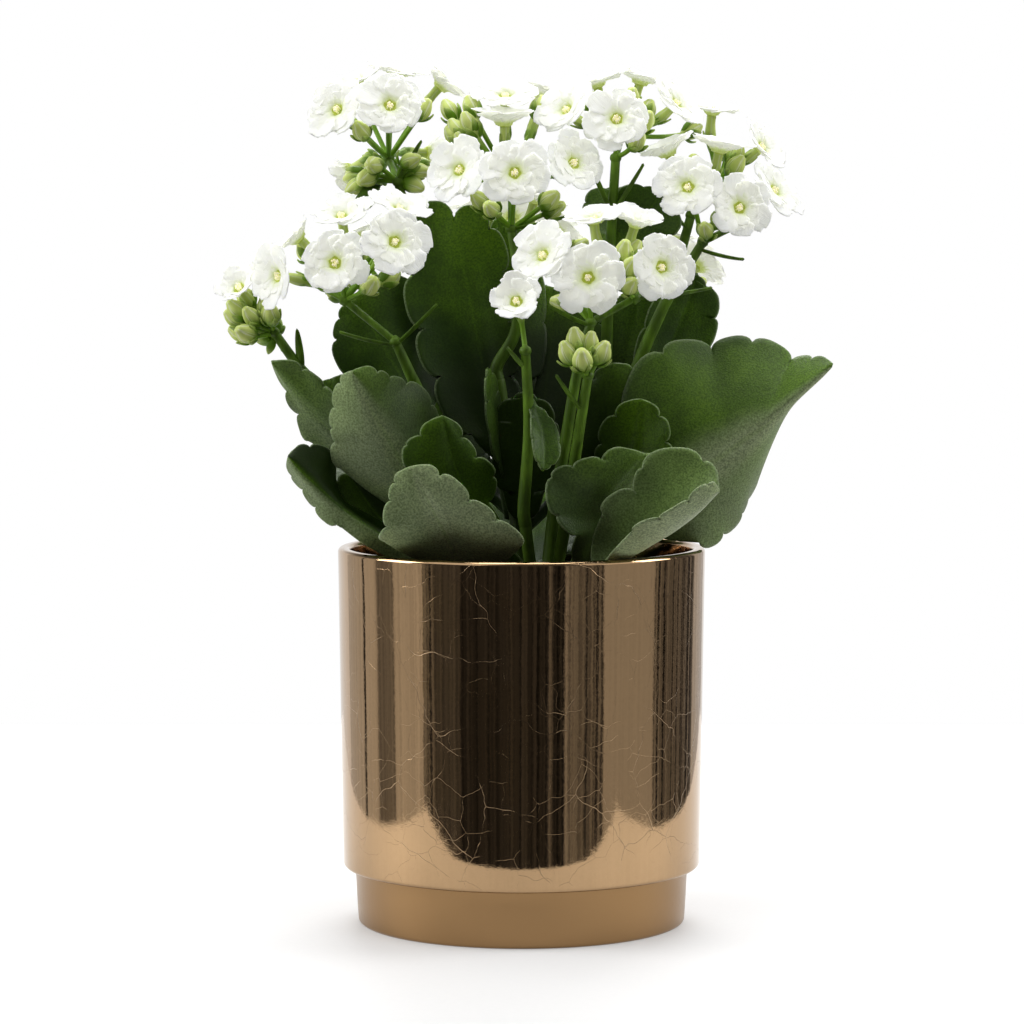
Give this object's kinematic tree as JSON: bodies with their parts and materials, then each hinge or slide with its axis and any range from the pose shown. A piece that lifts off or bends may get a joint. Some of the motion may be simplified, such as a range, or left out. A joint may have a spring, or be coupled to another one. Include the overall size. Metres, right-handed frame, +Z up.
{
  "type": "potted kalanchoe",
  "caption": "White double-flowered kalanchoe with scalloped fleshy leaves, in its growing pot inside a bronze-glazed ceramic cover pot.",
  "frame": {"origin": "centre of the cover pot's flat base, where it meets the table", "axes": "+Z up along the pot's axis, -Y towards the plant's front, +X to the right seen from the front"},
  "size_m": [0.1835, 0.135, 0.26],
  "materials": {
    "bronze_glaze": "mirror-like bronze lustre glaze with fine crackle",
    "black_plastic": "thin matte moulded plastic",
    "potting_soil": "loose dark peat mix",
    "leaf_green": "waxy fleshy leaf",
    "stalk_green": "satin green stalk and calyx",
    "petal_white": "soft matte petal"
  },
  "bodies": {
    "root": {"cover_pot": "bronze_glaze", "growing_pot": "black_plastic", "soil": "potting_soil", "leafy_stem_left": "leaf_green", "leafy_stem_centre": "leaf_green", "leafy_stem_right": "leaf_green", "leafy_stem_front": "leaf_green", "leafy_stem_back": "leaf_green", "flower_stalk_far_left": "stalk_green", "flower_stalk_left": "stalk_green", "flower_stalk_upper_left": "stalk_green", "flower_stalk_centre": "stalk_green", "flower_stalk_upper_right": "stalk_green", "flower_stalk_right": "stalk_green", "flower_stalk_right_back": "stalk_green", "flower_stalk_front": "stalk_green", "flower_stalk_front_single": "stalk_green", "flower_stalk_front_budded": "stalk_green", "flower_stalk_back_left": "stalk_green", "flower_stalk_back": "stalk_green", "flower_stalk_back_right": "stalk_green", "blooms_far_left_1": "petal_white", "blooms_left_1": "petal_white", "blooms_left_2": "petal_white", "blooms_left_3": "petal_white", "blooms_left_4": "petal_white", "blooms_left_5": "petal_white", "blooms_upper_left_1": "petal_white", "blooms_upper_left_2": "petal_white", "blooms_upper_left_3": "petal_white", "blooms_upper_left_4": "petal_white", "blooms_upper_left_5": "petal_white", "blooms_upper_left_6": "petal_white", "blooms_centre_1": "petal_white", "blooms_centre_2": "petal_white", "blooms_centre_3": "petal_white", "blooms_centre_4": "petal_white", "blooms_centre_5": "petal_white", "blooms_upper_right_1": "petal_white", "blooms_upper_right_2": "petal_white", "blooms_upper_right_3": "petal_white", "blooms_upper_right_4": "petal_white", "blooms_upper_right_5": "petal_white", "blooms_right_1": "petal_white", "blooms_right_2": "petal_white", "blooms_right_3": "petal_white", "blooms_right_back_1": "petal_white", "blooms_right_back_2": "petal_white", "blooms_right_back_3": "petal_white", "blooms_front_1": "petal_white", "blooms_front_2": "petal_white", "blooms_front_3": "petal_white", "blooms_front_single_1": "petal_white", "blooms_back_left_1": "petal_white", "blooms_back_1": "petal_white", "blooms_back_right_1": "petal_white"}
  },
  "joints": []
}
